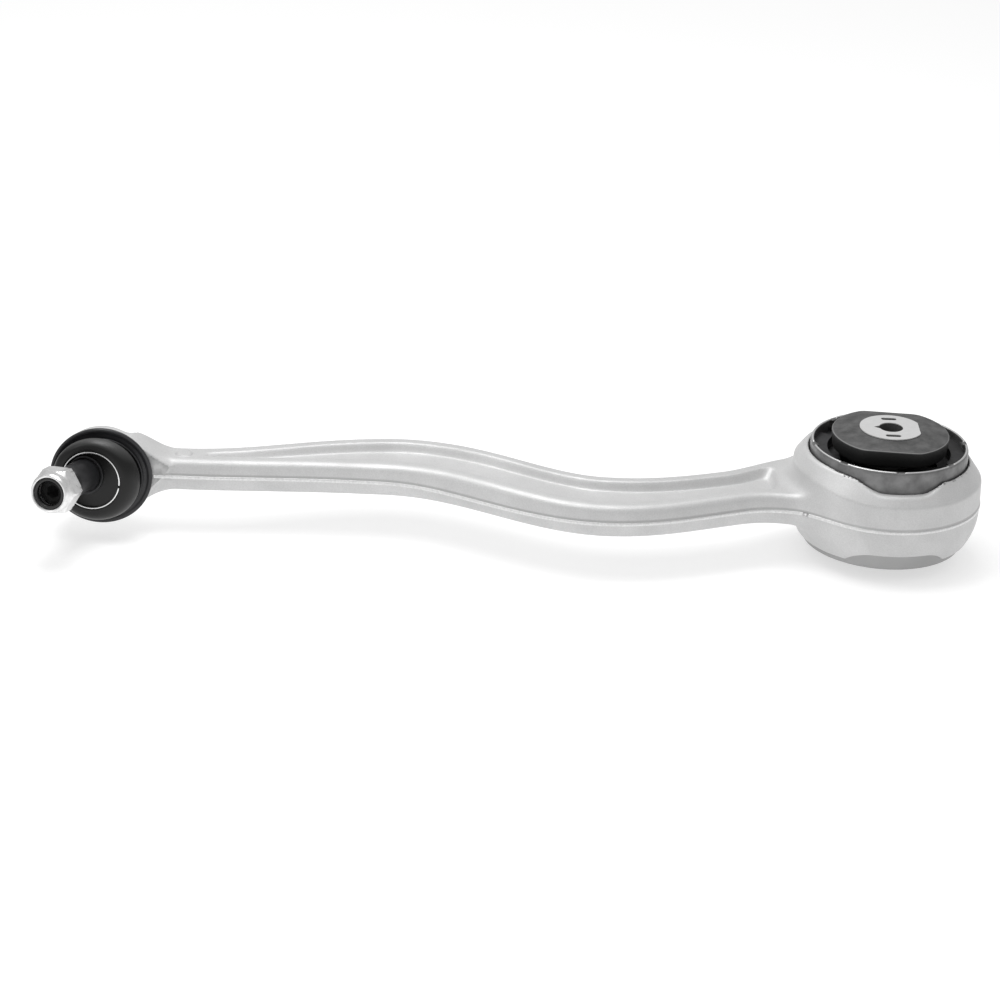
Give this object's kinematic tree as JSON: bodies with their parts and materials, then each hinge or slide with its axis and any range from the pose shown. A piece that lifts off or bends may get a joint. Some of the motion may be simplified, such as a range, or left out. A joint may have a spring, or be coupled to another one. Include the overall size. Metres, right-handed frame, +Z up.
{
  "type": "control arm",
  "caption": "S-curved forged control arm with pocketed faces, a booted ball joint with a nut on its stud at one end and a hydraulic bush in a collar at the other.",
  "frame": {"origin": "on the bush bore's axis, in the forging's parting plane", "axes": "+Z up the bush bore, -X along the arm from the bush to the ball centre, -Y out of the ball joint's housing towards the stud"},
  "size_m": [0.4802, 0.1169, 0.0684],
  "materials": {
    "forging": "blasted satin",
    "seat_plastic": "natural acetal",
    "black_steel": "phosphated and painted black",
    "spring_steel": "bright spring wire",
    "boot_rubber": "satin moulded rubber",
    "stud_steel": "black phosphated steel",
    "zinc_steel": "bright zinc plate",
    "nylon": "black nylon",
    "sleeve_steel": "dull pressed steel",
    "core_alloy": "die cast",
    "bush_rubber": "moulded rubber",
    "channel_plastic": "glass filled nylon",
    "stop_rubber": "dusty moulded rubber",
    "seal_rubber": "smooth rubber"
  },
  "bodies": {
    "arm": {"arm_forging": "forging", "ball_seat": "seat_plastic", "retaining_ring": "black_steel", "boot_flange_ring": "black_steel", "boot_base_ring": "spring_steel", "bush_sleeve": "sleeve_steel", "main_spring": "bush_rubber", "window_cage": "black_steel", "channel_shell_left": "channel_plastic", "channel_shell_right": "channel_plastic", "bump_ring_top": "bush_rubber", "bump_ring_bottom": "bush_rubber", "seal_ring_top": "seal_rubber", "seal_ring_bottom": "seal_rubber"},
    "boot_wall": {"dust_boot": "boot_rubber"},
    "boot_mouth": {"boot_mouth_ring": "spring_steel"},
    "stud_lip": {"boot_lip_ring": "black_steel"},
    "stud": {"ball_stud": "stud_steel", "stud_nut": "zinc_steel", "nut_insert": "nylon"},
    "core": {"bush_core": "core_alloy", "top_stop": "stop_rubber", "top_stop_plate": "black_steel", "bottom_stop": "stop_rubber", "bottom_stop_plate": "black_steel"}
  },
  "joints": [
    {"name": "stud_tilt", "type": "hinge", "parent": "arm", "child": "boot_wall", "pos_m": [-0.4, 0, 0], "axis": [1, 0, 0], "range_deg": [-2, 22], "deforming": ["dust_boot"]},
    {"name": "stud_swing", "type": "hinge", "parent": "boot_wall", "child": "stud_lip", "pos_m": [-0.4, 0, 0], "axis": [0, 0.1736, 0.9848], "range_deg": [-2, 38]},
    {"name": "mouth_swing", "type": "hinge", "parent": "boot_wall", "child": "boot_mouth", "pos_m": [-0.4, 0, 0], "axis": [0, 0.1736, 0.9848], "range_deg": [-1.02, 19.38]},
    {"name": "stud_spin", "type": "hinge", "parent": "stud_lip", "child": "stud", "pos_m": [-0.4, 0, 0], "axis": [-0.309, -0.9366, 0.1651], "continuous": true},
    {"name": "core_twist", "type": "hinge", "parent": "arm", "child": "core", "pos_m": [0, 0, 0], "axis": [0, 0, 1], "range_deg": [-15, 15], "stiffness_Nm_per_rad": 80}
  ],
  "couplings": [
    {"joint": "mouth_swing", "follows": "stud_swing", "ratio": 0.51}
  ]
}
